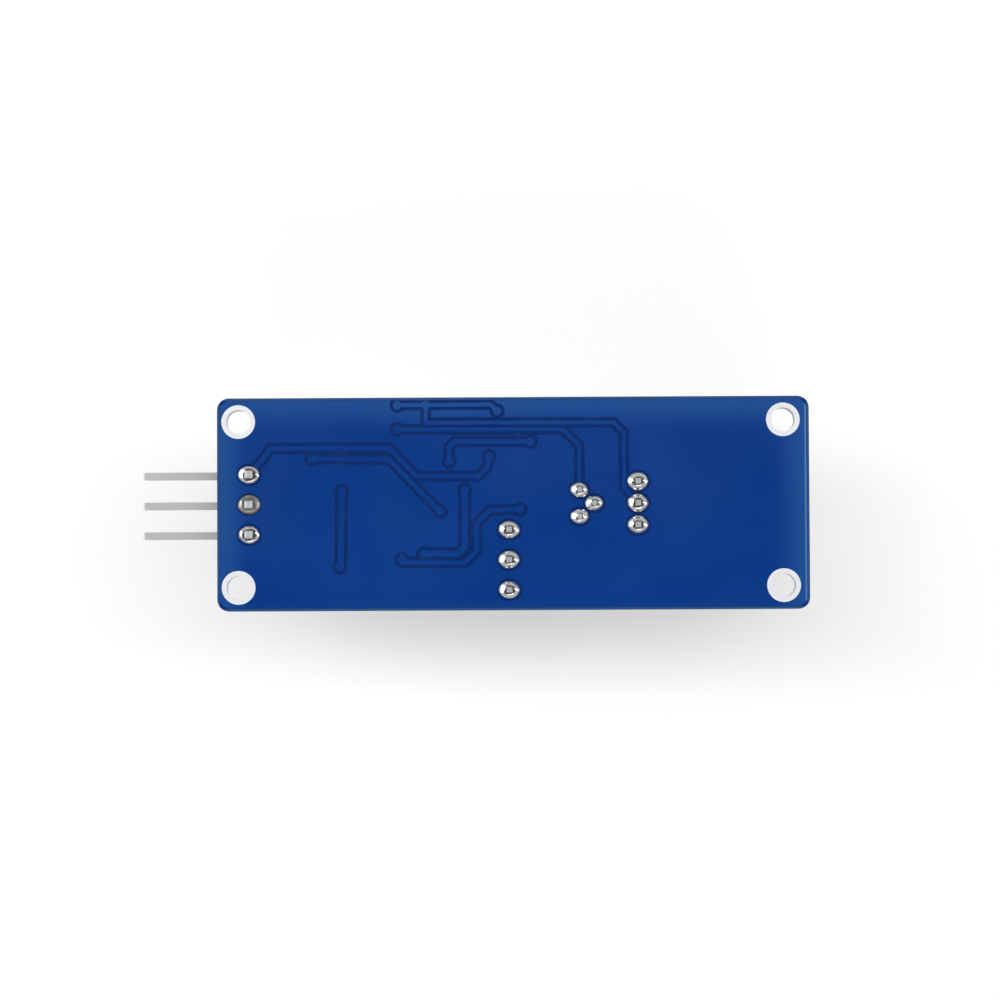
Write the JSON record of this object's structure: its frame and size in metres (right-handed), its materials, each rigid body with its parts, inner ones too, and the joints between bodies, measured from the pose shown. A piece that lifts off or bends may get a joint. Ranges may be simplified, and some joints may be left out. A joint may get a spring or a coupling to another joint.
{
  "type": "optical distance sensor",
  "caption": "Small circuit board that carries a focusable laser, a lensed light receiver and a right-angle pin header, for finding how near an object is.",
  "frame": {"origin": "centre of the four mounting holes, on the board's solder side", "axes": "+X is the sensing direction, along the board away from the pin header; +Z points out of the component side; +Y is across the board"},
  "size_m": [0.0565, 0.018, 0.0206],
  "materials": {
    "board_core": "glass-epoxy laminate with blue mask on its edges",
    "solder_mask_blue": "glossy blue mask over copper",
    "tinned_ring": "bright tin",
    "copper_plating": "plated copper",
    "solder": "bright solder",
    "header_pin": "tinned, satin",
    "header_block": "satin black",
    "part_lead": "tinned, satin",
    "moulding_black": "matt moulded",
    "receiver_epoxy": "smooth dark epoxy",
    "tube_black": "matt moulded",
    "lens_clear": "polished",
    "ring_anodised": "black anodised",
    "barrel_brass": "turned",
    "can_plated": "gold-flashed",
    "focus_brass": "turned",
    "band_black": "shrunk sleeve",
    "resistor_ceramic": "glazed black top on white ceramic",
    "capacitor_ceramic": "matt ceramic",
    "end_cap": "tinned",
    "reservoir_yellow": "moulded",
    "lamp_base": "moulded white",
    "power_lamp_lens": "clear moulded red",
    "signal_lamp_lens": "clear moulded green"
  },
  "bodies": {
    "board": {"back_copper": "solder_mask_blue", "board_core": "board_core", "capacitor_bodies": "capacitor_ceramic", "capacitor_end_caps": "end_cap", "collecting_lens": "lens_clear", "driver_transistor_body": "moulding_black", "driver_transistor_leads": "part_lead", "front_copper": "solder_mask_blue", "header_housing": "header_block", "header_joint_1": "solder", "header_joint_2": "solder", "header_joint_3": "solder", "header_pin_1": "header_pin", "header_pin_2": "header_pin", "header_pin_3": "header_pin", "hole_plating_1": "tinned_ring", "hole_plating_2": "tinned_ring", "hole_plating_3": "tinned_ring", "hole_plating_4": "tinned_ring", "laser_barrel": "barrel_brass", "laser_diode_can": "can_plated", "laser_joint_1": "solder", "laser_joint_2": "solder", "laser_joint_3": "solder", "laser_lead_1": "part_lead", "laser_lead_2": "part_lead", "laser_lead_3": "part_lead", "lens_retaining_ring": "ring_anodised", "lens_tube": "tube_black", "optics_band": "band_black", "oscillator_body": "moulding_black", "oscillator_joint_1": "solder", "oscillator_joint_2": "solder", "oscillator_joint_3": "solder", "oscillator_lead_1": "part_lead", "oscillator_lead_2": "part_lead", "oscillator_lead_3": "part_lead", "power_lamp_base": "lamp_base", "power_lamp_lens": "power_lamp_lens", "receiver_body": "receiver_epoxy", "receiver_joint_1": "solder", "receiver_joint_2": "solder", "receiver_joint_3": "solder", "receiver_lead_1": "part_lead", "receiver_lead_2": "part_lead", "receiver_lead_3": "part_lead", "reservoir_capacitor_body": "reservoir_yellow", "reservoir_capacitor_tabs": "part_lead", "resistor_bodies": "resistor_ceramic", "resistor_end_caps": "end_cap", "signal_chip_body": "moulding_black", "signal_chip_leads": "part_lead", "signal_lamp_base": "lamp_base", "signal_lamp_lens": "signal_lamp_lens", "surface_solder": "solder", "via_platings": "copper_plating"},
    "lens_carrier": {"laser_lens": "lens_clear"},
    "focus_ring": {"focus_ring": "focus_brass"}
  },
  "joints": [
    {"name": "focus_travel", "type": "slide", "parent": "board", "child": "lens_carrier", "axis": [1, 0, 0], "range_m": [-0.0005, 0.001]},
    {"name": "focus_turn", "type": "hinge", "parent": "lens_carrier", "child": "focus_ring", "pos_m": [0.0202, 0, 0.01575], "axis": [1, 0, 0], "range_deg": [-360, 720]}
  ],
  "couplings": [
    {"joint": "focus_turn", "follows": "focus_travel", "rad_per_m": 12560}
  ]
}
